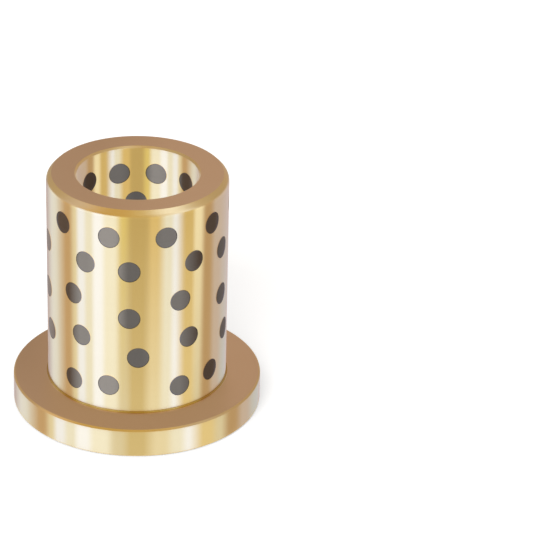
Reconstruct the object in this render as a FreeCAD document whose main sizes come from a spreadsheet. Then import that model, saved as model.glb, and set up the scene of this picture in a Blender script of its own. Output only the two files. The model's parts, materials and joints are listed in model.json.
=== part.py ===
# Self-lubricating flanged bushing for a 12 mm shaft, standing on its flange.
# The body is turned from bronze bar in one piece: a sleeve with a flange at its foot. Rows of radial holes are
# drilled through the sleeve, and a graphite plug is pressed into each hole and dressed flush with both walls.
# The origin is the centre of the flange's underside, and +Z runs up the bore. A turn is measured about +Z, from -Y.
import FreeCAD, Part
import math
import os
import Sketcher

OUT_FOLDER = "parts"
SHEET = "sizes"

# Driving dimensions in millimetres.
DIMENSIONS = {
    "bore_diameter": 12.0,
    "sleeve_diameter": 18.0,
    "flange_diameter": 25.0,
    "flange_thickness": 3.0,
    "total_length": 25.0,
    "rim_chamfer": 0.5,
    "mouth_chamfer": 0.2,
    "flange_edge_chamfer": 0.2,
    "neck_fillet": 0.25,
    "plug_diameter": 2.2,
}

# One row of plugs each, from the rim down: height above the underside, turn of the first plug, number of plugs.
PLUG_ROWS = [
    {"height": 22.1, "turn": 18.0, "count": 10},
    {"height": 18.9, "turn": 37.7, "count": 5},
    {"height": 18.57, "turn": 66.9, "count": 5},
    {"height": 15.0, "turn": 27.9, "count": 5},
    {"height": 13.47, "turn": 66.9, "count": 5},
    {"height": 10.7, "turn": 34.4, "count": 5},
    {"height": 9.15, "turn": 0.6, "count": 5},
    {"height": 5.85, "turn": 53.7, "count": 5},
    {"height": 5.5, "turn": 27.9, "count": 5},
]

FULL_TURN = 360.0
UP = FreeCAD.Vector(0, 0, 1)
LENGTH_TOLERANCE = 1e-6


def row_alias(row, quantity):
    """Name of the sheet cell that holds one quantity of one plug row, counted from 1 at the rim."""
    return f"row_{row}_{quantity}"


def make_sheet(doc):
    """Spreadsheet of the driving dimensions: names in column A, values with aliases in column B."""
    sheet = doc.addObject("Spreadsheet::Sheet", SHEET)
    cells = dict(DIMENSIONS)
    for row, values in enumerate(PLUG_ROWS, start=1):
        for quantity, value in values.items():
            cells[row_alias(row, quantity)] = value
    for line, (alias, value) in enumerate(cells.items(), start=1):
        sheet.set(f"A{line}", alias)
        sheet.set(f"B{line}", str(value))
        sheet.setAlias(f"B{line}", alias)
    doc.recompute()
    return sheet


def origin_feature(body, role):
    """The body's own origin plane or axis with this role."""
    return next(feature for feature in body.Origin.OriginFeatures if feature.Role == role)


def bind_constraint(sketch, constraint, name, formula):
    """Adds a named constraint to the sketch and ties its value to the sheet."""
    index = sketch.addConstraint(constraint)
    sketch.renameConstraint(index, name)
    sketch.setExpression(f"Constraints.{name}", formula)


# Turned blank


def draw_section(body):
    """Half section of the sleeve and its flange, right of the axis in the XZ plane, with sharp corners."""
    sketch = body.newObject("Sketcher::SketchObject", "half_section")
    sketch.AttachmentSupport = (origin_feature(body, "XZ_Plane"), [""])
    sketch.MapMode = "FlatFace"

    bore = DIMENSIONS["bore_diameter"] / 2
    sleeve = DIMENSIONS["sleeve_diameter"] / 2
    flange = DIMENSIONS["flange_diameter"] / 2
    shoulder = DIMENSIONS["flange_thickness"]
    top = DIMENSIONS["total_length"]
    corners = [(bore, 0), (flange, 0), (flange, shoulder), (sleeve, shoulder), (sleeve, top), (bore, top)]
    points = [FreeCAD.Vector(across, up, 0) for across, up in corners]
    underside, flange_rim, shoulder_face, sleeve_wall, rim_face, bore_wall = range(len(points))
    for start, end in zip(points, points[1:] + points[:1]):
        sketch.addGeometry(Part.LineSegment(start, end))

    start_of, end_of = 1, 2
    for line in range(len(points)):
        following = (line + 1) % len(points)
        sketch.addConstraint(Sketcher.Constraint("Coincident", line, end_of, following, start_of))
    for line in (underside, shoulder_face, rim_face):
        sketch.addConstraint(Sketcher.Constraint("Horizontal", line))
    for line in (flange_rim, sleeve_wall, bore_wall):
        sketch.addConstraint(Sketcher.Constraint("Vertical", line))

    origin = (-1, 1)
    cross_axis = -1
    sketch.addConstraint(Sketcher.Constraint("PointOnObject", underside, start_of, cross_axis))
    across_limits = {
        "bore_radius": (underside, bore, f"{SHEET}.bore_diameter / 2"),
        "flange_radius": (flange_rim, flange, f"{SHEET}.flange_diameter / 2"),
        "sleeve_radius": (sleeve_wall, sleeve, f"{SHEET}.sleeve_diameter / 2"),
    }
    for name, (line, value, formula) in across_limits.items():
        limit = Sketcher.Constraint("DistanceX", *origin, line, start_of, value)
        bind_constraint(sketch, limit, name, formula)
    up_limits = {
        "shoulder_height": (shoulder_face, shoulder, f"{SHEET}.flange_thickness"),
        "rim_height": (rim_face, top, f"{SHEET}.total_length"),
    }
    for name, (line, value, formula) in up_limits.items():
        limit = Sketcher.Constraint("DistanceY", *origin, line, start_of, value)
        bind_constraint(sketch, limit, name, formula)
    return sketch


def turn_blank(doc, body):
    """Turns the half section about the Z axis."""
    blank = body.newObject("PartDesign::Revolution", "turned_blank")
    blank.Profile = draw_section(body)
    blank.ReferenceAxis = (origin_feature(body, "Z_Axis"), [""])
    blank.Angle = FULL_TURN
    doc.recompute()
    return blank


def circular_edges(shape, radius, height):
    """Names of the shape's circular edges of this radius at this height."""
    names = []
    for number, edge in enumerate(shape.Edges, start=1):
        if not isinstance(edge.Curve, Part.Circle):
            continue
        circle = edge.Curve
        same_radius = abs(circle.Radius - radius) < LENGTH_TOLERANCE
        same_height = abs(circle.Center.z - height) < LENGTH_TOLERANCE
        if same_radius and same_height:
            names.append(f"Edge{number}")
    return names


def dress_edges(doc, body, base, kind, name, corners, size_property, size_alias):
    """Chamfers or fillets the corners of the turned blank, each corner given as a radius and a height."""
    edges = [edge for radius, height in corners for edge in circular_edges(base.Shape, radius, height)]
    dressing = body.newObject(kind, name)
    dressing.Base = (base, edges)
    dressing.setExpression(size_property, f"{SHEET}.{size_alias}")
    body.Tip = dressing
    doc.recompute()
    return dressing


def dress_blank(doc, body, blank):
    """Breaks every corner of the blank: rim, bore mouths, flange edges, and the fillet in the neck."""
    bore = DIMENSIONS["bore_diameter"] / 2
    sleeve = DIMENSIONS["sleeve_diameter"] / 2
    flange = DIMENSIONS["flange_diameter"] / 2
    shoulder = DIMENSIONS["flange_thickness"]
    top = DIMENSIONS["total_length"]
    chamfer, fillet = "PartDesign::Chamfer", "PartDesign::Fillet"
    rim = dress_edges(doc, body, blank, chamfer, "rim_break", [(sleeve, top)], "Size", "rim_chamfer")
    mouth = dress_edges(
        doc, body, rim, chamfer, "bore_mouths", [(bore, top), (bore, 0)], "Size", "mouth_chamfer"
    )
    flange_edges = dress_edges(
        doc, body, mouth, chamfer, "flange_edges", [(flange, shoulder), (flange, 0)], "Size",
        "flange_edge_chamfer",
    )
    return dress_edges(doc, body, flange_edges, fillet, "neck", [(sleeve, shoulder)], "Radius", "neck_fillet")


# Drilled rows


def draw_drill(body, row, values):
    """Circle of the row's first hole, on the XZ plane turned about Z to face that hole."""
    sketch = body.newObject("Sketcher::SketchObject", f"drill_{row}")
    sketch.AttachmentSupport = (origin_feature(body, "XZ_Plane"), [""])
    sketch.MapMode = "FlatFace"
    turn_axis = FreeCAD.Vector(0, 1, 0)
    facing = FreeCAD.Rotation(turn_axis, values["turn"])
    sketch.AttachmentOffset = FreeCAD.Placement(FreeCAD.Vector(), facing)
    sketch.setExpression("AttachmentOffset.Rotation.Angle", f"{SHEET}.{row_alias(row, 'turn')}")

    diameter = DIMENSIONS["plug_diameter"]
    centre = FreeCAD.Vector(0, values["height"], 0)
    hole = sketch.addGeometry(Part.Circle(centre, FreeCAD.Vector(0, 0, 1), diameter / 2))
    centre_of = 3
    origin = (-1, 1)
    up_axis = -2
    sketch.addConstraint(Sketcher.Constraint("PointOnObject", hole, centre_of, up_axis))
    height = Sketcher.Constraint("DistanceY", *origin, hole, centre_of, values["height"])
    bind_constraint(sketch, height, "hole_height", f"{SHEET}.{row_alias(row, 'height')}")
    width = Sketcher.Constraint("Diameter", hole, diameter)
    bind_constraint(sketch, width, "hole_diameter", f"{SHEET}.plug_diameter")
    return sketch


def drill_row(doc, body, row, values):
    """Drills the row's first hole outwards from the axis, and repeats it round the sleeve."""
    hole = body.newObject("PartDesign::Pocket", f"hole_{row}")
    hole.Profile = draw_drill(body, row, values)
    hole.Type = "Length"
    hole.setExpression("Length", f"{SHEET}.sleeve_diameter")
    hole.Reversed = True
    doc.recompute()

    holes = body.newObject("PartDesign::PolarPattern", f"holes_{row}")
    holes.Originals = [hole]
    holes.Axis = (origin_feature(body, "Z_Axis"), [""])
    holes.Angle = FULL_TURN
    holes.setExpression("Occurrences", f"{SHEET}.{row_alias(row, 'count')}")
    body.Tip = holes
    doc.recompute()


def make_bronze_body(doc):
    """The one-piece sleeve and flange with its drilled rows. Returns it, and its volume before drilling."""
    body = doc.addObject("PartDesign::Body", "bronze_body")
    body.Label = "bronze_body"
    turned = dress_blank(doc, body, turn_blank(doc, body))
    undrilled_volume = turned.Shape.Volume
    for row, values in enumerate(PLUG_ROWS, start=1):
        drill_row(doc, body, row, values)
    return body, undrilled_volume


# Graphite plugs


def make_wall_ring(doc):
    """A short length of the bare sleeve wall about the XY plane, as tall as it takes to hold one plug."""
    cylinders = []
    for name, diameter in (("wall_outside", "sleeve_diameter"), ("wall_inside", "bore_diameter")):
        cylinder = doc.addObject("Part::Cylinder", name)
        cylinder.setExpression("Radius", f"{SHEET}.{diameter} / 2")
        cylinder.setExpression("Height", f"2 * {SHEET}.plug_diameter")
        cylinder.setExpression("Placement.Base.z", f"-{SHEET}.plug_diameter")
        cylinders.append(cylinder)
    ring = doc.addObject("Part::Cut", "wall_ring")
    ring.Base, ring.Tool = cylinders
    return ring


def make_plug_blank(doc):
    """Round rod from the axis out past the sleeve, along -Y."""
    blank = doc.addObject("Part::Cylinder", "plug_blank")
    blank.setExpression("Radius", f"{SHEET}.plug_diameter / 2")
    blank.setExpression("Height", f"{SHEET}.sleeve_diameter")
    lying = FreeCAD.Rotation(FreeCAD.Vector(1, 0, 0), 90)
    blank.Placement = FreeCAD.Placement(FreeCAD.Vector(), lying)
    return blank


def make_plugs(doc):
    """One plug to each hole: the part of the rod that lies within the sleeve wall, raised and turned to its hole."""
    ring = make_wall_ring(doc)
    blank = make_plug_blank(doc)
    plugs = []
    for row, values in enumerate(PLUG_ROWS, start=1):
        for place in range(values["count"]):
            name = f"graphite_plug_row{row}_{place + 1:02d}"
            plug = doc.addObject("Part::Common", name)
            plug.Label = name
            plug.Base = blank
            plug.Tool = ring
            turn = values["turn"] + place * FULL_TURN / values["count"]
            plug.Placement = FreeCAD.Placement(FreeCAD.Vector(0, 0, values["height"]), FreeCAD.Rotation(UP, turn))
            turn_cell, count_cell = row_alias(row, "turn"), row_alias(row, "count")
            turn_formula = f"{SHEET}.{turn_cell} + {place} * {FULL_TURN} / {SHEET}.{count_cell}"
            plug.setExpression("Placement.Base.z", f"{SHEET}.{row_alias(row, 'height')}")
            plug.setExpression("Placement.Rotation.Angle", turn_formula)
            plugs.append(plug)
    doc.recompute()
    return plugs


# Checks and files


def check_document(doc):
    """Stops if any object of the document failed."""
    failed = [item.Name for item in doc.Objects if {"Invalid", "Error"} & set(item.State)]
    if failed:
        raise RuntimeError(f"these objects failed: {failed}")


def check_shapes(subparts):
    """Stops if a sub-part isn't one valid solid."""
    for subpart in subparts:
        shape = subpart.Shape
        if shape.isNull() or not shape.isValid() or len(shape.Solids) != 1:
            raise RuntimeError(f"{subpart.Label} isn't one valid solid")


def check_drilling(body, plugs, undrilled_volume):
    """Stops if the plugs and the drilled body don't add up to the turned blank, or a plug isn't in its hole."""
    total = body.Shape.Volume + sum(plug.Shape.Volume for plug in plugs)
    a_tenth_of_a_plug = plugs[0].Shape.Volume / 10
    if abs(total - undrilled_volume) > a_tenth_of_a_plug:
        raise RuntimeError(f"plugs and body make {total} mm3, and the blank {undrilled_volume} mm3")
    for plug in plugs:
        centre = plug.Shape.Solids[0].CenterOfMass
        if body.Shape.isInside(centre, LENGTH_TOLERANCE, True):
            raise RuntimeError(f"{plug.Label} isn't in a hole")


def report_sizes(body, plugs, undrilled_volume):
    """Prints the volumes and the overall size."""
    box = body.Shape.BoundBox
    wall = (DIMENSIONS["sleeve_diameter"] - DIMENSIONS["bore_diameter"]) / 2
    rod_volume = math.pi * (DIMENSIONS["plug_diameter"] / 2) ** 2 * wall
    print(f"body {body.Shape.Volume:.2f} mm3 of {undrilled_volume:.2f} mm3 before drilling")
    print(f"{len(plugs)} plugs, {plugs[0].Shape.Volume:.3f} mm3 each, a straight rod being {rod_volume:.3f} mm3")
    print(f"overall {box.XLength:.3f} x {box.YLength:.3f} x {box.ZLength:.3f} mm")


def main():
    """Builds the bushing and writes one STEP file for each sub-part."""
    doc = FreeCAD.newDocument("flanged_bushing")
    make_sheet(doc)
    body, undrilled_volume = make_bronze_body(doc)
    plugs = make_plugs(doc)
    check_document(doc)
    check_shapes([body, *plugs])
    check_drilling(body, plugs, undrilled_volume)
    report_sizes(body, plugs, undrilled_volume)

    os.makedirs(OUT_FOLDER, exist_ok=True)
    for subpart in [body, *plugs]:
        subpart.Shape.exportStep(os.path.join(OUT_FOLDER, f"{subpart.Label}.step"))


main()
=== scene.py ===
"""Looks of a self-lubricating flanged bushing: turned bronze with graphite plugs, in a plain white studio.

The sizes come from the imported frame. Two pieces are made here and stand for the frame's nodes: the turned
and drilled bronze body, and the fifty plugs pressed in its wall. All is in metres, with +Z up the bore.
"""

import json
import logging
import math
from dataclasses import dataclass
from enum import Enum

import bmesh
import bpy
from bpy.types import ID, Material, Mesh, MeshPolygon, Node, NodeSocket, NodeTree, Object, World
from mathutils import Matrix, Vector


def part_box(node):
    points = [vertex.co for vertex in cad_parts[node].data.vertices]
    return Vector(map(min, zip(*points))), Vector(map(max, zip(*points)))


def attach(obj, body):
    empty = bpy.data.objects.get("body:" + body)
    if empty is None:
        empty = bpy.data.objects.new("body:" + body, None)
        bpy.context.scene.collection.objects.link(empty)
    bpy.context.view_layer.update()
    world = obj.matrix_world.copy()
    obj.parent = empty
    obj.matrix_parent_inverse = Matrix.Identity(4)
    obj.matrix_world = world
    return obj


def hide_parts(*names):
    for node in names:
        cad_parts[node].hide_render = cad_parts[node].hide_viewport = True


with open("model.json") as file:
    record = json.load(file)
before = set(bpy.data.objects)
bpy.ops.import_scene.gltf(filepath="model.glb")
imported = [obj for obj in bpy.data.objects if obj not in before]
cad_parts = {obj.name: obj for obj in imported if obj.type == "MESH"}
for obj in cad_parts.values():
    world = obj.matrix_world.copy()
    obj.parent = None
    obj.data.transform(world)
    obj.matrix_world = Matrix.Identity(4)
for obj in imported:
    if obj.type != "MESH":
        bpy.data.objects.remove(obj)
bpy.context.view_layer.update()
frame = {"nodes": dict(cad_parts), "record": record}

LOG = logging.getLogger("bushing")
MM = 0.001
HUNDREDTH_MM = 5  # decimals of a length in metres
BODY_NODE = "bronze_body"
PLUG_NODE_START = "graphite_plug_row"


def linear_colour(hex_colour: str) -> tuple[float, float, float, float]:
    """Turns an sRGB hex colour into the linear colour that a shader takes.

    Args:
        hex_colour: Six hex digits after a #.

    Returns:
        Linear red, green and blue, and an alpha of 1.
    """
    channels = [int(hex_colour[i : i + 2], 16) / 255 for i in (1, 3, 5)]
    linear = [c / 12.92 if c <= 0.04045 else ((c + 0.055) / 1.055) ** 2.4 for c in channels]
    return (*linear, 1.0)


def add_node(tree: NodeTree, kind: str, inputs: dict | None = None, **settings: object) -> Node:
    """Adds a node with its settings and links.

    Args:
        tree: The node tree that gets it.
        kind: The node's type.
        inputs: For each input socket's name or place, a value, or the output socket that feeds it.
        settings: The node's own properties.

    Returns:
        The new node.
    """
    node = tree.nodes.new(kind)
    for name, value in settings.items():
        setattr(node, name, value)
    for socket, value in (inputs or {}).items():
        if isinstance(value, NodeSocket):
            tree.links.new(value, node.inputs[socket])
        else:
            node.inputs[socket].default_value = value
    return node


def blank_tree(owner: Material | World) -> NodeTree:
    """Gives a material or the world an empty node tree.

    Args:
        owner: The material or the world.

    Returns:
        Its tree.
    """
    owner.use_nodes = True
    owner.node_tree.nodes.clear()
    return owner.node_tree


def add_object(name: str, data: ID | None) -> Object:
    """Puts a mesh, lamp or camera in the scene, at the origin.

    Args:
        name: The object's name.
        data: What it shows.

    Returns:
        The object.
    """
    made = bpy.data.objects.new(name, data)
    bpy.context.scene.collection.objects.link(made)
    return made


# Sizes


@dataclass(frozen=True)
class PlugPlace:
    """Where one plug sits: its turn about +Z from -Y in radians, and its height in metres."""

    turn: float
    height: float

    def outward(self) -> Vector:
        """Unit vector along the plug, away from the axis."""
        return Vector((math.sin(self.turn), -math.cos(self.turn), 0))


@dataclass(frozen=True)
class BushingSizes:
    """Main sizes of the bushing, in metres, and where its plugs are."""

    bore: float
    sleeve: float
    flange: float
    shoulder: float
    top: float
    plug: float
    places: tuple[PlugPlace, ...]

    @classmethod
    def from_frame(cls) -> "BushingSizes":
        """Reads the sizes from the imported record's mounts and the nodes' own meshes.

        Returns:
            The sizes.
        """
        mounts = {mount["name"]: mount for mount in frame["record"]["mounts"]}
        low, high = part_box(BODY_NODE)
        plugs = [node for node in sorted(frame["nodes"]) if node.startswith(PLUG_NODE_START)]
        plug_low, plug_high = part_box(plugs[0])
        return cls(
            bore=mounts["bore"]["dims"]["r_mm"] * MM,
            sleeve=mounts["sleeve_outside"]["dims"]["r_mm"] * MM,
            flange=(high.x - low.x) / 2,
            shoulder=mounts["flange_shoulder"]["pos_m"][2],
            top=high.z,
            plug=round((plug_high.z - plug_low.z) / 2, HUNDREDTH_MM),
            places=tuple(cls.find_place(node) for node in plugs),
        )

    @staticmethod
    def find_place(node: str) -> PlugPlace:
        """Finds a plug's turn and height from the extent of its mesh across its own axis.

        Args:
            node: Name of the plug's node.

        Returns:
            The plug's place.
        """
        points = [vertex.co for vertex in frame["nodes"][node].data.vertices]
        middle = sum(points, Vector()) / len(points)
        across = Vector((-middle.y, middle.x, 0)).normalized()
        sideways = [point.dot(across) for point in points]
        off_centre = (min(sideways) + max(sideways)) / 2
        turn = math.atan2(middle.x, -middle.y) + math.atan2(off_centre, middle.to_2d().length)
        heights = [point.z for point in points]
        return PlugPlace(turn % math.tau, (min(heights) + max(heights)) / 2)


# Finishes


class LatheFeed(Enum):
    """The way the tool moved while it cut a surface, which sets where its fine grooves lie."""

    ALONG_AXIS = "along the axis"
    ACROSS_FACE = "across the face"


@dataclass(frozen=True)
class CutFinish:
    """A surface cut on the lathe, in bronze or in the graphite that is dressed with it.

    Fine grooves run round the axis and smear reflections across themselves, which draws lights into streaks
    along a wall. Real grooves lie under 0.1 mm apart, too close to show, so feed_mm is a few times coarser.
    """

    name: str
    clean: str
    stained: str
    roughness: float
    anisotropy: float
    feed_mm: float
    feed: LatheFeed = LatheFeed.ALONG_AXIS
    stain_mm: float = 5.0
    roughness_spread: float = 0.03
    groove_depth_mm: float = 0.001
    metallic: float = 1.0
    index: float = 1.5
    stain_detail: float = 3.0
    groove_detail: float = 2.0
    groove_unevenness: float = 0.6

    def material(self) -> Material:
        """Builds the finish's material.

        Returns:
            The material.
        """
        made = bpy.data.materials.new(self.name)
        tree = blank_tree(made)
        place = add_node(tree, "ShaderNodeTexCoord").outputs["Object"]
        axes = add_node(tree, "ShaderNodeSeparateXYZ", {0: place})
        inputs = {"Vector": place, "Scale": 1 / (self.stain_mm * MM), "Detail": self.stain_detail}
        stain = add_node(tree, "ShaderNodeTexNoise", inputs).outputs["Fac"]
        inputs = {"Factor": stain, "A": linear_colour(self.clean), "B": linear_colour(self.stained)}
        colour = add_node(tree, "ShaderNodeMix", inputs, data_type="RGBA").outputs["Result"]
        groove = self.groove_pattern(tree, axes)
        low, high = self.roughness - self.roughness_spread, self.roughness + self.roughness_spread
        inputs = {"Value": groove, "To Min": low, "To Max": high}
        roughness = add_node(tree, "ShaderNodeMapRange", inputs).outputs["Result"]
        inputs = {"Height": groove, "Strength": 1.0, "Distance": self.groove_depth_mm * MM}
        bump = add_node(tree, "ShaderNodeBump", inputs)
        inputs = {
            "Base Color": colour,
            "Metallic": self.metallic,
            "IOR": self.index,
            "Roughness": roughness,
            "Anisotropic": self.anisotropy,
            "Tangent": self.across_grooves(tree, axes),
            "Normal": bump.outputs["Normal"],
        }
        shader = add_node(tree, "ShaderNodeBsdfPrincipled", inputs)
        add_node(tree, "ShaderNodeOutputMaterial", {"Surface": shader.outputs["BSDF"]})
        return made

    @staticmethod
    def across_grooves(tree: NodeTree, axes: Node) -> NodeSocket:
        """Finds the direction along the surface that crosses the grooves.

        Args:
            tree: The material's node tree.
            axes: The separated Object coordinates.

        Returns:
            The socket with the direction.
        """
        x, y = axes.outputs["X"], axes.outputs["Y"]
        minus_y = add_node(tree, "ShaderNodeMath", {0: y, 1: -1.0}, operation="MULTIPLY").outputs[0]
        groove = add_node(tree, "ShaderNodeCombineXYZ", {"X": minus_y, "Y": x}).outputs[0]
        outward = add_node(tree, "ShaderNodeNewGeometry").outputs["Normal"]
        inputs = {0: outward, 1: groove}
        return add_node(tree, "ShaderNodeVectorMath", inputs, operation="CROSS_PRODUCT").outputs["Vector"]

    def groove_pattern(self, tree: NodeTree, axes: Node) -> NodeSocket:
        """Lays the tool's uneven grooves along the way it was fed.

        Args:
            tree: The material's node tree.
            axes: The separated Object coordinates.

        Returns:
            The socket with the groove height, from 0 to 1.
        """
        along = axes.outputs["Z"]
        if self.feed is LatheFeed.ACROSS_FACE:
            flat = add_node(tree, "ShaderNodeCombineXYZ", {"X": axes.outputs["X"], "Y": axes.outputs["Y"]})
            length = add_node(tree, "ShaderNodeVectorMath", {0: flat.outputs[0]}, operation="LENGTH")
            along = length.outputs["Value"]
        inputs = {
            "W": along,
            "Scale": 1 / (self.feed_mm * MM),
            "Detail": self.groove_detail,
            "Roughness": self.groove_unevenness,
        }
        return add_node(tree, "ShaderNodeTexNoise", inputs, noise_dimensions="1D").outputs["Fac"]


# Soft carbon cut together with the bronze: dark, with a dull grey sheen that is streaked by the same tool.
GRAPHITE_FINISH = CutFinish(
    name="graphite_dressed_flush",
    clean="#332E29",
    stained="#2D2824",
    stain_mm=0.12,
    roughness=0.4,
    roughness_spread=0.04,
    anisotropy=0.9,
    feed_mm=0.3,
    groove_depth_mm=0.0015,
    metallic=0.0,
    index=2.4,
)


class BodySurface(Enum):
    """The surfaces of the bronze body, each with its own finish."""

    TURNED_WALL = 0
    FACED_END = 1
    BORED_WALL = 2
    BROKEN_EDGE = 3
    DRILLED_HOLE = 4
    NECK_FILLET = 5


BODY_FINISHES = {
    # Turned with a fine feed: bright, with lights drawn into upright bands that stay crisp round the wall.
    BodySurface.TURNED_WALL: CutFinish(
        name="bronze_turned_wall",
        clean="#EDCF92",
        stained="#E9CA8B",
        roughness=0.3,
        roughness_spread=0.02,
        anisotropy=1.0,
        feed_mm=0.35,
        groove_depth_mm=0.0015,
    ),
    # Faced, so its grooves are rings: no bands. Painted shade: a little darker bronze than the wall's, for
    # its brown.
    BodySurface.FACED_END: CutFinish(
        name="bronze_faced_end",
        clean="#E3C39C",
        stained="#DFBE96",
        roughness=0.38,
        anisotropy=0.2,
        feed_mm=0.35,
        feed=LatheFeed.ACROSS_FACE,
    ),
    # Bored with a thinner tool: the same bands as outside, a little softer.
    BodySurface.BORED_WALL: CutFinish(
        name="bronze_bored_wall",
        clean="#EDCF92",
        stained="#E9CA8B",
        roughness=0.35,
        anisotropy=1.0,
        feed_mm=0.3,
        groove_depth_mm=0.0015,
    ),
    # Bevelled with one touch of the tool: a narrow golden line that changes round the edge.
    BodySurface.BROKEN_EDGE: CutFinish(
        name="bronze_broken_edge",
        clean="#EDCF92",
        stained="#E7C888",
        roughness=0.35,
        anisotropy=0.4,
        feed_mm=0.12,
    ),
    # Painted shade: darker, rougher bronze, a thin dark line in the crease that parts sleeve and flange.
    BodySurface.NECK_FILLET: CutFinish(
        name="bronze_neck_fillet",
        clean="#C49A48",
        stained="#B99041",
        roughness=0.45,
        anisotropy=0.4,
        feed_mm=0.12,
    ),
    # Drilled and left rough; its darker bronze is painted shade in the gap where a plug's rim has crumbled.
    BodySurface.DRILLED_HOLE: CutFinish(
        name="bronze_drilled_hole",
        clean="#A98748",
        stained="#8F6F3A",
        roughness=0.5,
        roughness_spread=0.05,
        anisotropy=0.0,
        feed_mm=0.1,
        feed=LatheFeed.ACROSS_FACE,
    ),
}


# Turned and drilled body


@dataclass(frozen=True)
class Corner:
    """A corner of the half section: distance from the axis, height, and the radius that rounds it."""

    across: float
    up: float
    rounding: float

    def point(self) -> Vector:
        """The sharp corner itself."""
        return Vector((self.across, self.up))


@dataclass(frozen=True)
class OutlinePoint:
    """A point of the rounded half section, and the direction out of the metal there."""

    point: Vector
    normal: Vector


def round_outline(corners: list[Corner], steps: int) -> list[OutlinePoint]:
    """Rounds every corner of a closed outline that runs anticlockwise.

    Args:
        corners: The sharp corners, in order.
        steps: How many chords make each arc.

    Returns:
        The points of the arcs, in order, with their outward normals.
    """
    outline = []
    count = len(corners)
    for place, corner in enumerate(corners):
        here = corner.point()
        into = (here - corners[place - 1].point()).normalized()
        out = (corners[(place + 1) % count].point() - here).normalized()
        turn = math.atan2(into.x * out.y - into.y * out.x, into.dot(out))
        side = math.copysign(1.0, turn)
        start = here - into * corner.rounding * math.tan(abs(turn) / 2)
        first_normal = Vector((into.y, -into.x))
        centre = start - first_normal * side * corner.rounding
        for step in range(steps + 1):
            angle = turn * step / steps
            normal = Matrix.Rotation(angle, 2) @ first_normal
            outline.append(OutlinePoint(centre + normal * side * corner.rounding, normal))
    return outline


def run_tree(name: str, start: Mesh, tree: NodeTree, values: dict) -> Object:
    """Runs a Geometry Nodes tree on a mesh and keeps the result as a plain mesh.

    Args:
        name: Name of the new piece.
        start: The mesh that the tree is given.
        tree: The tree.
        values: The tree's inputs by name.

    Returns:
        The new object, at the origin and without modifiers.
    """
    carrier = add_object(f"{name}_start", start)
    modifier = carrier.modifiers.new(tree.name, "NODES")
    modifier.node_group = tree
    sockets = {item.name: item.identifier for item in tree.interface.items_tree if item.in_out == "INPUT"}
    for socket, value in values.items():
        modifier[sockets[socket]] = value
    depsgraph = bpy.context.evaluated_depsgraph_get()
    mesh = bpy.data.meshes.new_from_object(carrier.evaluated_get(depsgraph))
    bpy.data.objects.remove(carrier)
    mesh.name = name
    return add_object(name, mesh)


def new_tree(name: str, inputs: dict[str, tuple[str, object]]) -> tuple[NodeTree, Node]:
    """Starts a Geometry Nodes tree with a geometry input and output, and named inputs for its sizes.

    Args:
        name: The tree's name.
        inputs: For each further input, its socket type and its default value, or None.

    Returns:
        The tree and its input node.
    """
    tree = bpy.data.node_groups.new(name, "GeometryNodeTree")
    tree.interface.new_socket("Geometry", in_out="OUTPUT", socket_type="NodeSocketGeometry")
    tree.interface.new_socket("Geometry", in_out="INPUT", socket_type="NodeSocketGeometry")
    for socket_name, (kind, value) in inputs.items():
        socket = tree.interface.new_socket(socket_name, in_out="INPUT", socket_type=kind)
        if value is not None:
            socket.default_value = value
    return tree, add_node(tree, "NodeGroupInput")


def plug_points(sizes: BushingSizes) -> Object:
    """Makes one point on the axis for each plug, at its height, with its turn as an attribute.

    Args:
        sizes: The bushing's sizes.

    Returns:
        An object that only the trees read.
    """
    mesh = bpy.data.meshes.new("plug_points")
    mesh.from_pydata([(0, 0, place.height) for place in sizes.places], [], [])
    turns = mesh.attributes.new("turn", "FLOAT", "POINT")
    turns.data.foreach_set("value", [place.turn for place in sizes.places])
    return add_object("plug_points", mesh)


def spread_round_axis(tree: NodeTree, points: NodeSocket, instance: NodeSocket) -> NodeSocket:
    """Puts an instance at each point, turned about +Z by the point's own turn, and makes it real.

    Args:
        tree: The tree.
        points: Socket with the points.
        instance: Socket with what is repeated.

    Returns:
        The socket with the real geometry.
    """
    turn = add_node(tree, "GeometryNodeInputNamedAttribute", {"Name": "turn"}, data_type="FLOAT")
    about_z = add_node(tree, "ShaderNodeCombineXYZ", {"Z": turn.outputs["Attribute"]})
    rotation = add_node(tree, "FunctionNodeEulerToRotation", {0: about_z.outputs[0]})
    inputs = {"Points": points, "Instance": instance, "Rotation": rotation.outputs[0]}
    spread = add_node(tree, "GeometryNodeInstanceOnPoints", inputs)
    return add_node(tree, "GeometryNodeRealizeInstances", {"Geometry": spread.outputs[0]}).outputs[0]


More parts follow.
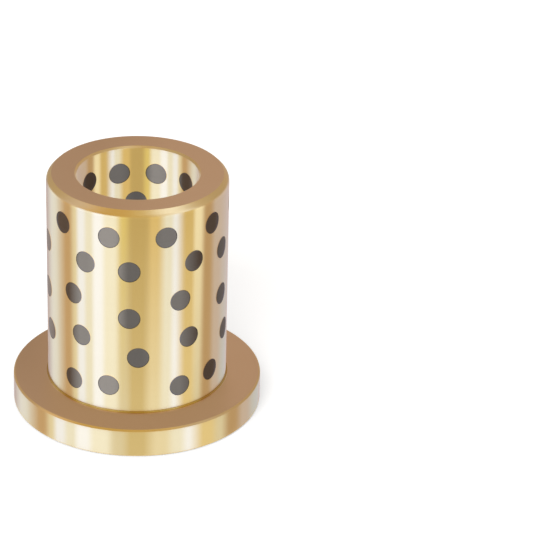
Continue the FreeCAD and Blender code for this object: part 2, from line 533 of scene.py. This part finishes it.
@dataclass
class BronzeBody:
    """The sleeve and flange, turned in one piece and drilled for its plugs."""

    sizes: BushingSizes
    rim_break: float = 0.5 * MM
    mouth_break: float = 0.2 * MM
    flange_break: float = 0.15 * MM
    neck_fillet: float = 0.15 * MM
    edge_softness: float = 0.05 * MM
    rim_softness: float = 0.6 * MM
    flange_softness: float = 0.15 * MM
    arc_steps: int = 4
    sides: int = 288
    drill_sides: int = 48
    path_radius: float = 1.0 * MM

    def corners(self) -> list[Corner]:
        """Lists the corners of the half section, anticlockwise from the bore's foot.

        Returns:
            The corners.
        """
        size = self.sizes
        soft = self.edge_softness
        return [
            Corner(size.bore + self.mouth_break, 0, soft),
            Corner(size.flange - self.flange_break, 0, soft),
            Corner(size.flange, self.flange_break, soft),
            Corner(size.flange, size.shoulder - self.flange_break, self.flange_softness),
            Corner(size.flange - self.flange_break, size.shoulder, soft),
            Corner(size.sleeve, size.shoulder, self.neck_fillet),
            Corner(size.sleeve, size.top - self.rim_break, self.rim_softness),
            Corner(size.sleeve - self.rim_break, size.top, soft),
            Corner(size.bore + self.mouth_break, size.top, soft),
            Corner(size.bore, size.top - self.mouth_break, soft),
            Corner(size.bore, self.mouth_break, soft),
        ]

    def section_mesh(self, outline: list[OutlinePoint]) -> Mesh:
        """Makes the half section a closed loop of edges, as the profile that is swept round the path.

        Args:
            outline: The rounded half section.

        Returns:
            The loop.
        """
        mesh = bpy.data.meshes.new("half_section")
        points = [(item.point.x - self.path_radius, -item.point.y, 0) for item in reversed(outline)]
        edges = [(i, (i + 1) % len(points)) for i in range(len(points))]
        mesh.from_pydata(points, edges, [])
        return mesh

    def tree(self) -> NodeTree:
        """Builds the tree that turns the section round the axis and drills the plug holes.

        Returns:
            The tree.
        """
        inputs = {
            "Path Radius": ("NodeSocketFloat", self.path_radius),
            "Sides": ("NodeSocketInt", self.sides),
            "Hole Points": ("NodeSocketObject", None),
            "Hole Radius": ("NodeSocketFloat", self.sizes.plug),
            "Hole Sides": ("NodeSocketInt", self.drill_sides),
            "Hole Length": ("NodeSocketFloat", self.sizes.sleeve),
            "Hole Middle": ("NodeSocketVector", (0, -(self.sizes.bore + self.sizes.sleeve) / 2, 0)),
            "Metal": ("NodeSocketMaterial", None),
        }
        tree, given = new_tree("turn_and_drill", inputs)
        sizes = given.outputs
        section = add_node(tree, "GeometryNodeMeshToCurve", {"Mesh": sizes["Geometry"]}).outputs[0]
        inputs = {"Resolution": sizes["Sides"], "Radius": sizes["Path Radius"]}
        path = add_node(tree, "GeometryNodeCurvePrimitiveCircle", inputs).outputs["Curve"]
        turned = add_node(tree, "GeometryNodeCurveToMesh", {"Curve": path, "Profile Curve": section})
        inputs = {
            "Vertices": sizes["Hole Sides"],
            "Radius": sizes["Hole Radius"],
            "Depth": sizes["Hole Length"],
        }
        drill = add_node(tree, "GeometryNodeMeshCylinder", inputs).outputs["Mesh"]
        inputs = {"Geometry": drill, "Translation": sizes["Hole Middle"], "Rotation": (math.pi / 2, 0, 0)}
        lying = add_node(tree, "GeometryNodeTransform", inputs)
        points = add_node(tree, "GeometryNodeObjectInfo", {"Object": sizes["Hole Points"]})
        drills = spread_round_axis(tree, points.outputs["Geometry"], lying.outputs[0])
        drilled = add_node(
            tree,
            "GeometryNodeMeshBoolean",
            {"Mesh 1": turned.outputs[0], "Mesh 2": drills},
            operation="DIFFERENCE",
            solver="MANIFOLD",
        ).outputs["Mesh"]
        real = add_node(tree, "GeometryNodeRealizeInstances", {"Geometry": drilled}).outputs[0]
        metal = add_node(tree, "GeometryNodeSetMaterial", {"Geometry": real, "Material": sizes["Metal"]})
        add_node(tree, "NodeGroupOutput", {"Geometry": metal.outputs[0]})
        return tree

    def build(self, points: Object) -> Object:
        """Turns, drills and dresses the body.

        Args:
            points: The plugs' points.

        Returns:
            The finished piece.
        """
        materials = {surface: finish.material() for surface, finish in BODY_FINISHES.items()}
        outline = round_outline(self.corners(), self.arc_steps)
        values = {"Hole Points": points, "Metal": materials[BodySurface.TURNED_WALL]}
        piece = run_tree("bronze_body_turned", self.section_mesh(outline), self.tree(), values)
        piece.data.materials.clear()
        for surface in BodySurface:
            piece.data.materials.append(materials[surface])
        self.dress(piece.data, outline)
        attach(piece, "root")
        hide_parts(BODY_NODE)
        return piece

    def hole_at(self, centre: Vector, normal: Vector) -> PlugPlace | None:
        """Finds the hole whose wall a face belongs to.

        Args:
            centre: The face's middle.
            normal: The face's own normal.

        Returns:
            The hole's place, or None where the face is part of a turned surface.
        """
        steepest, slack = 0.5, 1.02
        for place in self.sizes.places:
            outward = place.outward()
            from_axis = centre - Vector((0, 0, place.height))
            along = from_axis.dot(outward)
            if along <= 0 or abs(normal.dot(outward)) > steepest:
                continue
            if (from_axis - outward * along).length < self.sizes.plug * slack:
                return place
        return None

    def dress(self, mesh: Mesh, outline: list[OutlinePoint]) -> None:
        """Gives every face its surface's finish, and every corner the true normal of the turned form.

        Args:
            mesh: The drilled body.
            outline: The half section that it was turned from.
        """
        normals = [Vector((0, 0, 1))] * len(mesh.loops)
        for face in mesh.polygons:
            face.use_smooth = True
            hole = self.hole_at(face.center, face.normal)
            corners = [mesh.vertices[mesh.loops[loop].vertex_index].co for loop in face.loop_indices]
            if hole:
                face.material_index = BodySurface.DRILLED_HOLE.value
                made = [self.hole_normal(corner, hole) for corner in corners]
            else:
                face.material_index = self.surface_of(face).value
                made = [self.turned_normal(corner, outline) for corner in corners]
            for loop, normal in zip(face.loop_indices, made):
                normals[loop] = normal
        mesh.normals_split_custom_set(normals)

    def surface_of(self, face: MeshPolygon) -> BodySurface:
        """Tells which turned surface a face belongs to.

        Args:
            face: The face.

        Returns:
            The surface.
        """
        steep, level = 0.05, 0.999
        radius = face.center.to_2d().length
        if abs(face.normal.z) > level:
            return BodySurface.FACED_END
        if abs(face.normal.z) > steep:
            in_reach = radius < self.sizes.sleeve + self.neck_fillet
            in_height = 0 < face.center.z - self.sizes.shoulder < self.neck_fillet
            return BodySurface.NECK_FILLET if in_reach and in_height else BodySurface.BROKEN_EDGE
        in_bore = radius < (self.sizes.bore + self.sizes.sleeve) / 2
        return BodySurface.BORED_WALL if in_bore else BodySurface.TURNED_WALL

    @staticmethod
    def hole_normal(corner: Vector, hole: PlugPlace) -> Vector:
        """Normal of a hole's wall at a corner: towards the hole's own axis.

        Args:
            corner: The corner.
            hole: The hole.

        Returns:
            The unit normal.
        """
        outward = hole.outward()
        from_axis = corner - Vector((0, 0, hole.height))
        return -(from_axis - outward * from_axis.dot(outward)).normalized()

    def turned_normal(self, corner: Vector, outline: list[OutlinePoint]) -> Vector:
        """Normal of the turned form at a corner, from the half section.

        Args:
            corner: The corner.
            outline: The half section.

        Returns:
            The unit normal.
        """
        on_wall = 0.01 * MM
        radius = corner.to_2d().length
        radial = Vector((corner.x / radius, corner.y / radius))
        above_neck = corner.z > self.sizes.shoulder + self.neck_fillet
        below_rim = corner.z < self.sizes.top - self.rim_break
        if abs(radius - self.sizes.sleeve) < on_wall and above_neck and below_rim:
            section = Vector((1, 0))
        elif radius < self.sizes.bore + on_wall:
            section = Vector((-1, 0))
        else:
            here = Vector((radius, corner.z))
            section = min(outline, key=lambda item: (item.point - here).length_squared).normal
        return Vector((radial.x * section.x, radial.y * section.x, section.y))


# Graphite plugs


@dataclass
class GraphitePlugs:
    """The plugs, each a short round rod whose ends follow the bore and the outside of the sleeve."""

    sizes: BushingSizes
    finish: CutFinish
    edge_crumble: float = 0.06 * MM
    crumble_depth: float = 0.05 * MM
    sharp_from: float = math.radians(25)
    sides: int = 48

    def rod_mesh(self) -> Mesh:
        """Makes one plug along -Y at its true distance from the axis.

        Returns:
            The plug's mesh, closed, with its ends flush with both walls of the sleeve.
        """
        radius = self.sizes.plug
        inner_share, mid_share = 0.35, 0.7
        flush = [radius * inner_share, radius * mid_share, radius - self.edge_crumble]
        rings = [(self.sizes.sleeve, width, 0.0) for width in flush]
        rings.append((self.sizes.sleeve, radius, -self.crumble_depth))
        rings.append((self.sizes.bore, radius, self.crumble_depth))
        rings.extend((self.sizes.bore, width, 0.0) for width in reversed(flush))

        shape = bmesh.new()
        outer_pole = shape.verts.new((0, -self.sizes.sleeve, 0))
        inner_pole = shape.verts.new((0, -self.sizes.bore, 0))
        loops = [[self.rod_vertex(shape, *ring, side) for side in range(self.sides)] for ring in rings]
        for first, second in zip(loops, loops[1:]):
            for side in range(self.sides):
                following = (side + 1) % self.sides
                shape.faces.new((first[side], first[following], second[following], second[side]))
        for side in range(self.sides):
            following = (side + 1) % self.sides
            shape.faces.new((outer_pole, loops[0][following], loops[0][side]))
            shape.faces.new((inner_pole, loops[-1][side], loops[-1][following]))
        bmesh.ops.recalc_face_normals(shape, faces=shape.faces)
        for face in shape.faces:
            face.smooth = True
        mesh = bpy.data.meshes.new("plug_rod")
        shape.to_mesh(mesh)
        shape.free()
        mesh.set_sharp_from_angle(angle=self.sharp_from)
        return mesh

    def rod_vertex(
        self, shape: bmesh.types.BMesh, wall: float, width: float, lift: float, side: int
    ) -> bmesh.types.BMVert:
        """Adds one point of a ring that lies on a round wall, lifted off it along the plug.

        Args:
            shape: The mesh being made.
            wall: The wall's radius.
            width: The ring's radius about the plug's axis.
            lift: How far the ring stands out from the wall.
            side: Which point of the ring.

        Returns:
            The new point.
        """
        angle = math.tau * side / self.sides
        across = width * math.cos(angle)
        return shape.verts.new((across, -math.sqrt(wall**2 - across**2) - lift, width * math.sin(angle)))

    def tree(self) -> NodeTree:
        """Builds the tree that sets a plug in each hole.

        Returns:
            The tree.
        """
        inputs = {"Plug": ("NodeSocketObject", None), "Graphite": ("NodeSocketMaterial", None)}
        tree, given = new_tree("set_plugs", inputs)
        rod = add_node(tree, "GeometryNodeObjectInfo", {"Object": given.outputs["Plug"]})
        plugs = spread_round_axis(tree, given.outputs["Geometry"], rod.outputs["Geometry"])
        inputs = {"Geometry": plugs, "Material": given.outputs["Graphite"]}
        dressed = add_node(tree, "GeometryNodeSetMaterial", inputs)
        add_node(tree, "NodeGroupOutput", {"Geometry": dressed.outputs[0]})
        return tree

    def build(self, points: Object) -> Object:
        """Sets all the plugs as one piece.

        Args:
            points: The plugs' points.

        Returns:
            The finished piece.
        """
        rod = add_object("plug_rod", self.rod_mesh())
        values = {"Plug": rod, "Graphite": self.finish.material()}
        piece = run_tree("graphite_plugs_dressed", points.data.copy(), self.tree(), values)
        bpy.data.objects.remove(rod)
        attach(piece, "root")
        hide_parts(*[node for node in frame["nodes"] if node.startswith(PLUG_NODE_START)])
        return piece


# Studio


class Gel(Enum):
    """Coloured sheets that the light tents are lined with."""

    AMBER = "#FFE3A0"
    WARM = "#FFF6D2"
    LEMON = "#FFFFD0"
    CREAM = "#FFFFF0"
    KRAFT = "#FFEBE0"
    TAN = "#FFEBD4"
    UMBER = "#FFCEA6"
    SILK = "#FFF8F0"
    PAPER = "#E0EBFF"
    DUSK = "#D9DAFF"
    PEARL = "#C1D3FF"
    DAYLIGHT = "#A8BDFF"


@dataclass(frozen=True)
class Strip:
    """An upright strip of the light tent, placed by the turns on the wall, in degrees, that mirror it."""

    start: float
    end: float
    gel: Gel
    level: float

    def glow(self) -> Vector:
        """Linear red, green and blue of the light that comes off the strip."""
        return Vector(linear_colour(self.gel.value)[:3]) * self.level


# The photograph's light changes only with the way that a wall faces, so its bands are strips of a tent.
# From the camera, 0 is the middle of a wall, -90 its left edge and 90 its right, and 180 is the back.
LEFT_STRIPS = (
    Strip(-90, -87, Gel.PAPER, 1.0),
    Strip(-84, -78, Gel.DUSK, 0.92),
    Strip(-68, -62, Gel.PEARL, 1.8),
    Strip(-51, -47, Gel.KRAFT, 0.7),
    Strip(-43, -42, Gel.PAPER, 1.33),
    Strip(-39, -36, Gel.DAYLIGHT, 2.95),
    Strip(-33, -30, Gel.PEARL, 2.05),
    Strip(-27.5, -23, Gel.DAYLIGHT, 3.2),
    Strip(-20, -14, Gel.PEARL, 2.2),
)
BACK_STRIPS = (
    Strip(104, 112, Gel.KRAFT, 0.62),
    Strip(124, 129, Gel.PEARL, 1.6),
    Strip(141, 149, Gel.WARM, 0.78),
    Strip(158, 163, Gel.PEARL, 2.1),
    Strip(176, 185, Gel.WARM, 0.7),
    Strip(200, 205, Gel.PEARL, 1.8),
    Strip(219, 230, Gel.KRAFT, 0.64),
    Strip(243, 248, Gel.PAPER, 1.3),
    Strip(254, 258, Gel.KRAFT, 0.62),
)
HIGH_STRIPS = (
    *LEFT_STRIPS,
    Strip(-10, -8, Gel.LEMON, 0.94),
    Strip(-4, 5.5, Gel.WARM, 0.68),
    Strip(9, 13, Gel.WARM, 0.9),
    Strip(18, 21, Gel.PEARL, 1.95),
    Strip(23.5, 24.5, Gel.DAYLIGHT, 2.85),
    Strip(30.5, 36, Gel.WARM, 0.82),
    Strip(39, 43, Gel.PAPER, 1.52),
    Strip(47, 52, Gel.KRAFT, 0.62),
    Strip(57, 62, Gel.DUSK, 1.02),
    Strip(72, 83, Gel.DUSK, 1.04),
    Strip(87, 90, Gel.PAPER, 1.05),
    *BACK_STRIPS,
)
LOW_STRIPS = (
    *LEFT_STRIPS,
    Strip(-10, -7, Gel.PAPER, 1.24),
    Strip(-3, 3, Gel.CREAM, 0.83),
    Strip(8.5, 13, Gel.PAPER, 1.4),
    Strip(17, 20, Gel.PEARL, 2.1),
    Strip(23.5, 24.5, Gel.DAYLIGHT, 3.1),
    Strip(31, 36, Gel.CREAM, 0.98),
    Strip(40, 42, Gel.PAPER, 1.2),
    Strip(47, 52, Gel.KRAFT, 0.62),
    Strip(57, 62, Gel.DUSK, 1.03),
    Strip(68, 76, Gel.PEARL, 1.3),
    Strip(80, 84, Gel.DUSK, 1.04),
    Strip(87, 90, Gel.PAPER, 1.05),
    *BACK_STRIPS,
)
# Graphite keeps the light's direction but not its colour, so its own strips are nearly neutral.
PLUG_STRIPS = (
    Strip(-86, -69, Gel.KRAFT, 1.0),
    Strip(-58, -48, Gel.UMBER, 0.42),
    Strip(-39, -33, Gel.SILK, 1.45),
    Strip(-23, -14, Gel.SILK, 1.85),
    Strip(-6, 3, Gel.SILK, 0.7),
    Strip(16, 28, Gel.SILK, 1.02),
    Strip(42, 57, Gel.UMBER, 0.32),
    Strip(64, 86, Gel.KRAFT, 0.46),
    Strip(124, 130, Gel.SILK, 1.2),
    Strip(142, 150, Gel.KRAFT, 0.5),
    Strip(156, 166, Gel.SILK, 1.5),
    Strip(178, 188, Gel.SILK, 0.7),
    Strip(198, 206, Gel.SILK, 1.3),
    Strip(220, 250, Gel.UMBER, 0.45),
)
# The room round the tents, for the flat faces and the bevelled edges. These turns are true ones.
ROOM_LOW_STRIPS = (
    Strip(-100, -62, Gel.KRAFT, 0.55),
    Strip(-48, -44, Gel.KRAFT, 0.85),
    Strip(-30, 20, Gel.AMBER, 0.66),
    Strip(30, 95, Gel.KRAFT, 0.52),
    Strip(120, 165, Gel.KRAFT, 0.57),
    Strip(195, 215, Gel.KRAFT, 0.5),
    Strip(230, 245, Gel.KRAFT, 0.42),
)
ROOM_HIGH_STRIPS = (
    Strip(-120, -84, Gel.SILK, 0.58),
    Strip(-64, -58, Gel.DUSK, 1.2),
    Strip(-42, -15, Gel.AMBER, 0.68),
    Strip(0, 10, Gel.WARM, 0.75),
    Strip(35, 42, Gel.PEARL, 2.9),
    Strip(60, 66, Gel.SILK, 0.72),
    Strip(84, 100, Gel.SILK, 0.55),
    Strip(120, 165, Gel.KRAFT, 0.58),
    Strip(195, 215, Gel.KRAFT, 0.5),
)
ROOF_STRIP = Strip(0, 0, Gel.TAN, 0.64)
SHOULDER_STRIP = Strip(0, 0, Gel.TAN, 0.5)


def across_bore(strips: tuple[Strip, ...], share: float) -> tuple[Strip, ...]:
    """Turns the outside's strips half round for the far side of the bore, at a share of their light."""
    return tuple(Strip(s.start + 180, s.end + 180, s.gel, s.level * share) for s in strips)


def blend_at(strips: tuple[Strip, ...], turn: float) -> Vector:
    """Light of a tent at a turn: a strip's own, or a blend between the two strips on either side.

    Args:
        strips: The strips round the whole tent, in order of their turns.
        turn: The turn in degrees.

    Returns:
        Linear red, green and blue.
    """
    least_width = 1e-6
    edges = [(edge, strip.glow()) for strip in strips for edge in (strip.start, strip.end)]
    first_turn, first_glow = edges[0]
    edges.append((first_turn + 360, first_glow))
    turn = (turn - first_turn) % 360 + first_turn
    for (low, low_glow), (high, high_glow) in zip(edges, edges[1:]):
        if low <= turn <= high:
            return low_glow.lerp(high_glow, (turn - low) / max(high - low, least_width))
    return first_glow


def lining(name: str, outside: Strip | None) -> Material:
    """Makes a lit sheet's material: the strips on both sides, or one plain light on the outer side.

    Args:
        name: The material's name.
        outside: The other side's light, or None where both sides show the strips.

    Returns:
        The material.
    """
    made = bpy.data.materials.new(name)
    tree = blank_tree(made)
    light = add_node(tree, "ShaderNodeVertexColor", layer_name="glow").outputs["Color"]
    if outside:
        behind = add_node(tree, "ShaderNodeNewGeometry").outputs["Backfacing"]
        plain = (*outside.glow(), 1.0)
        inputs = {"Factor": behind, "A": light, "B": plain}
        sides = add_node(tree, "ShaderNodeMix", inputs, data_type="RGBA")
        light = sides.outputs["Result"]
    glowing = add_node(tree, "ShaderNodeEmission", {"Color": light, "Strength": 1.0})
    add_node(tree, "ShaderNodeOutputMaterial", {"Surface": glowing.outputs[0]})
    return made


def hang_sheet(
    name: str, points: list[tuple], faces: list[tuple], lights: list[Vector], outside: Strip | None = None
) -> None:
    """Hangs a lit sheet that only mirroring surfaces see. It casts no shadow.

    Args:
        name: The sheet's name.
        points: Its corners.
        faces: Its faces.
        lights: The light at each corner.
        outside: The plain light of its other side, if it has one.
    """
    mesh = bpy.data.meshes.new(name)
    mesh.from_pydata(points, [], faces)
    glow = mesh.color_attributes.new("glow", "FLOAT_COLOR", "POINT")
    for place, light in enumerate(lights):
        glow.data[place].color = (*light, 1.0)
    mesh.materials.append(lining(f"{name}_lining", outside))
    sheet = add_object(name, mesh)
    sheet.visible_camera = False
    sheet.visible_diffuse = False
    sheet.visible_shadow = False


@dataclass(frozen=True)
class PlugCards:
    """A small lit card close before the end of every plug, so that graphite mirrors its own light."""

    name: str
    radius: float
    size: float
    strips: tuple[Strip, ...]
    places: tuple[PlugPlace, ...]
    ring_shares: tuple[float, ...] = (0.3, 0.65, 1.0)
    sides: int = 32

    def build(self) -> None:
        """Makes all the cards as one sheet."""
        angles = [math.tau * side / self.sides for side in range(self.sides)]
        rings = [share * self.size for share in self.ring_shares]
        spots = [(0.0, 0.0), *((ring * math.cos(a), ring * math.sin(a)) for ring in rings for a in angles)]
        points, faces, lights = [], [], []
        for place in self.places:
            first = len(points)
            for across, up in spots:
                turn = place.turn + math.asin(across / self.radius)
                outward = PlugPlace(turn, place.height + up)
                points.append((*(outward.outward() * self.radius).xy, outward.height))
                lights.append(blend_at(self.strips, math.degrees(turn)))
            for side in range(self.sides):
                here, following = first + 1 + side, first + 1 + (side + 1) % self.sides
                faces.append((first, here, following))
                for step in range(len(rings) - 1):
                    low, high = step * self.sides, (step + 1) * self.sides
                    faces.append((here + low, here + high, following + high, following + low))
        hang_sheet(self.name, points, faces, lights)


@dataclass(frozen=True)
class LightTent:
    """A round upright sheet whose lining gives off light in strips, for a round wall to mirror."""

    name: str
    radius: float
    foot: float
    head: float
    low: tuple[Strip, ...]
    high: tuple[Strip, ...]
    wall: float | None = None
    outside: Strip | None = None
    roof: Strip | None = None
    front_reach: float = 90
    front_steps: int = 120
    back_reach: float = 74
    back_steps: int = 100

    def stand_turn(self, turn: float) -> float:
        """Finds where on the tent a view from the front ends after the wall mirrors it.

        Args:
            turn: The turn on the wall, in radians.

        Returns:
            The turn on the tent, in radians. Without a wall it is the same turn.
        """
        if self.wall is None:
            return turn
        start = Vector((math.sin(turn), math.cos(turn))) * self.wall
        mirrored = Vector((math.sin(2 * turn), math.cos(2 * turn)))
        ahead = start.dot(mirrored)
        reach = math.sqrt(ahead**2 + self.radius**2 - self.wall**2) - ahead
        end = start + mirrored * reach
        return math.atan2(end.x, end.y)

    def columns(self) -> list[tuple[float, float]]:
        """Lists the tent's upright edges: those for views from the front, then those for the back.

        Returns:
            For each, its turn on the tent in radians, and the turn in degrees that its light has.
        """
        edges = []
        front = (0, self.front_reach, self.front_steps)
        back = (180, self.back_reach, self.back_steps)
        for middle, reach, steps in (front, back):
            for place in range(steps + 1):
                turn = reach * (2 * place / steps - 1)
                edges.append((math.radians(middle) + self.stand_turn(math.radians(turn)), middle + turn))
        return edges

    def build(self) -> None:
        """Makes the tent, with its light kept as a colour at every corner."""
        columns = self.columns()
        count = len(columns)
        foot = [(self.radius * math.sin(t), -self.radius * math.cos(t), self.foot) for t, _ in columns]
        points = foot + [(x, y, self.head) for x, y, _ in foot]
        faces = [(i, count + i, count + (i + 1) % count, (i + 1) % count) for i in range(count)]
        lights = [blend_at(strips, turn) for strips in (self.low, self.high) for _, turn in columns]
        if self.roof:
            faces.extend((count + i, 2 * count, count + (i + 1) % count) for i in range(count))
            points.append((0, 0, self.head))
            lights.append(self.roof.glow())
        hang_sheet(self.name, points, faces, lights, self.outside)


def seen_directly(tree: NodeTree) -> NodeSocket:
    """Tells whether a surface or the sky is looked at, mirrored or seen through, or else lights something.

    Args:
        tree: The material's or the world's node tree.

    Returns:
        The socket with 1 where it is seen, and 0 where it lights something.
    """
    ray = add_node(tree, "ShaderNodeLightPath").outputs
    camera, glossy, through = ray["Is Camera Ray"], ray["Is Glossy Ray"], ray["Is Transmission Ray"]
    mirrored = add_node(tree, "ShaderNodeMath", {0: camera, 1: glossy}, operation="ADD").outputs[0]
    return add_node(tree, "ShaderNodeMath", {0: mirrored, 1: through}, operation="ADD").outputs[0]


@dataclass(frozen=True)
class Studio:
    """Plain white floor, a soft lamp, and the light tents round the bushing that its metal mirrors.

    A tent stops short of a wall's ends by the lip, neck or rim clearance, so that it doesn't cut the view
    of the edges there. The lifts bring the floor to white where it is seen, near the bushing and far off.
    """

    sizes: BushingSizes
    floor_radius: float = 5.0
    floor_sides: int = 64
    floor_drop: float = 0.01 * MM
    floor_colour: str = "#F4F4F4"
    near_lift: float = 0.42
    far_lift: float = 0.56
    far_off: float = 0.4
    world_colour: str = "#C8C5C2"
    seen_colour: str = "#FFFFFF"
    lamp_place: tuple[float, float, float] = (-0.12, -0.40, 0.30)
    lamp_size: float = 0.30
    lamp_power: float = 1.6
    tent_gap: float = 0.15 * MM
    lip_clearance: float = 0.2 * MM
    neck_clearance: float = 0.1 * MM
    rim_clearance: float = 0.5 * MM
    room_radius: float = 14 * MM
    room_top: float = 45 * MM
    card_gap: float = 0.05 * MM
    bore_share: float = 1.03
    inner_card_share: float = 0.86

    def build(self) -> None:
        """Sets up the floor, the world, the lamp and the lit sheets."""
        self.make_world()
        self.make_floor()
        self.make_lamp()
        for sheet in (*self.tents(), *self.cards()):
            sheet.build()

    def tents(self) -> list[LightTent]:
        """Lists the tents: one close to each round wall, and a room for the flat ends and the edges.

        Returns:
            The tents.
        """
        size, gap, lip = self.sizes, self.tent_gap, self.lip_clearance
        foot, head = size.shoulder + self.neck_clearance, size.top - self.rim_clearance
        low, high = LOW_STRIPS, HIGH_STRIPS
        hollow = across_bore(high, self.bore_share)
        room_low, room_high = ROOM_LOW_STRIPS, ROOM_HIGH_STRIPS
        return [
            LightTent("flange_tent", size.flange + gap, 0.0, size.shoulder - lip, low, low, size.flange),
            LightTent("sleeve_tent", size.sleeve + gap, foot, head, low, high, size.sleeve, SHOULDER_STRIP),
            LightTent("bore_tent", size.bore - gap, lip, size.top - lip, hollow, hollow),
            LightTent("room", self.room_radius, 0.0, self.room_top, room_low, room_high, roof=ROOF_STRIP),
        ]

    def cards(self) -> list[PlugCards]:
        """Lists the cards: those before the plugs' outer ends and those before their inner ends.

        Returns:
            The two sets of cards.
        """
        size, gap = self.sizes, self.card_gap
        hollow = across_bore(PLUG_STRIPS, self.inner_card_share)
        return [
            PlugCards("outer_cards", size.sleeve + gap, size.plug, PLUG_STRIPS, size.places),
            PlugCards("inner_cards", size.bore - gap, size.plug, hollow, size.places),
        ]

    def make_world(self) -> None:
        """Lights the room from all round with an even pale grey, and shows white behind everything.

        Metal doesn't mirror the world: the tents cast no shadow, so its light would come through them.
        """
        world = bpy.data.worlds.new("studio_air")
        bpy.context.scene.world = world
        tree = blank_tree(world)
        world.cycles_visibility.glossy = False
        grey, white = linear_colour(self.world_colour), linear_colour(self.seen_colour)
        inputs = {"Factor": seen_directly(tree), "A": grey, "B": white}
        sky = add_node(tree, "ShaderNodeMix", inputs, data_type="RGBA")
        air = add_node(tree, "ShaderNodeBackground", {"Color": sky.outputs["Result"], "Strength": 1.0})
        add_node(tree, "ShaderNodeOutputWorld", {"Surface": air.outputs[0]})

    def make_floor(self) -> None:
        """Lays the white floor, lifted to white where it is seen, and more where the lamp is far off."""
        angles = [math.tau * side / self.floor_sides for side in range(self.floor_sides)]
        reach = self.floor_radius
        ring = [(reach * math.cos(a), reach * math.sin(a), -self.floor_drop) for a in angles]
        mesh = bpy.data.meshes.new("floor")
        mesh.from_pydata(ring, [], [tuple(range(self.floor_sides))])
        mesh.materials.append(self.white_board())
        add_object("floor", mesh)

    def white_board(self) -> Material:
        """Makes the floor's material: matt white card that still holds the shadow.

        Returns:
            The material.
        """
        material = bpy.data.materials.new("white_board")
        tree = blank_tree(material)
        board = add_node(tree, "ShaderNodeBsdfDiffuse", {"Color": linear_colour(self.floor_colour)})
        place = add_node(tree, "ShaderNodeTexCoord").outputs["Object"]
        away = add_node(tree, "ShaderNodeVectorMath", {0: place}, operation="LENGTH").outputs["Value"]
        lifts = {"Value": away, "From Max": self.far_off, "To Min": self.near_lift, "To Max": self.far_lift}
        white = add_node(tree, "ShaderNodeMapRange", lifts).outputs["Result"]
        inputs = {0: seen_directly(tree), 1: white}
        strength = add_node(tree, "ShaderNodeMath", inputs, operation="MULTIPLY")
        lift = add_node(tree, "ShaderNodeEmission", {"Strength": strength.outputs[0]})
        both = add_node(tree, "ShaderNodeAddShader", {0: board.outputs[0], 1: lift.outputs[0]})
        add_node(tree, "ShaderNodeOutputMaterial", {"Surface": both.outputs[0]})
        return material

    def make_lamp(self) -> None:
        """Hangs a square soft lamp that faces the bushing. Metal mirrors the tents instead of it."""
        data = bpy.data.lights.new("key", "AREA")
        data.shape = "SQUARE"
        data.size = self.lamp_size
        data.energy = self.lamp_power
        lamp = add_object("key", data)
        lamp.location = self.lamp_place
        lamp.rotation_euler = (-Vector(self.lamp_place)).to_track_quat("-Z", "Y").to_euler()
        lamp.visible_camera = False
        lamp.visible_glossy = False


@dataclass(frozen=True)
class PhotoCamera:
    """The photograph's camera, fitted to the bushing's edges in it.

    It looks from the front and above, and aims to the right of the bushing.
    """

    frame_px: float = 533
    sensor_mm: float = 36
    focal_px: float = 2833.1
    clip_share: float = 0.1
    distance: float = 282.29 * MM
    elevation: float = math.radians(27.102)
    aim_height: float = 15.735 * MM
    yaw: float = math.radians(2.933)
    pitch: float = math.radians(27.271)
    roll: float = math.radians(-1.530)

    def build(self) -> Object:
        """Places the camera and makes it the scene's.

        Returns:
            The camera.
        """
        data = bpy.data.cameras.new("photo_camera")
        data.sensor_width = self.sensor_mm
        data.lens = self.focal_px / self.frame_px * self.sensor_mm
        data.clip_start = self.distance * self.clip_share
        level_share, sideways, forwards = math.cos(self.pitch), math.sin(self.yaw), math.cos(self.yaw)
        ahead = Vector((sideways * level_share, forwards * level_share, -math.sin(self.pitch)))
        level = Vector((forwards, -sideways, 0))
        down = ahead.cross(level)
        right = level * math.cos(self.roll) + down * math.sin(self.roll)
        below = down * math.cos(self.roll) - level * math.sin(self.roll)
        turned = Matrix((right, -below, -ahead)).transposed().to_4x4()
        back = self.distance * math.cos(self.elevation)
        up = self.aim_height + self.distance * math.sin(self.elevation)
        turned.translation = Vector((0, -back, up))
        camera = add_object("photo_camera", data)
        camera.matrix_world = turned
        bpy.context.scene.camera = camera
        return camera


def main() -> None:
    """Builds the bushing's pieces in order, then the studio and the camera.

    Caustics are off, or the tents would throw an orange glow on the floor.
    """
    logging.basicConfig(level=logging.INFO, format="%(name)s: %(message)s")
    bpy.context.scene.view_settings.view_transform = "Standard"
    bpy.context.scene.cycles.caustics_reflective = False
    sizes = BushingSizes.from_frame()
    points = plug_points(sizes)
    for part in (BronzeBody(sizes), GraphitePlugs(sizes, GRAPHITE_FINISH)):
        piece = part.build(points)
        LOG.info("%s: %d faces", piece.name, len(piece.data.polygons))
    bpy.data.objects.remove(points)
    Studio(sizes).build()
    PhotoCamera().build()


if __name__ == "__main__":
    main()
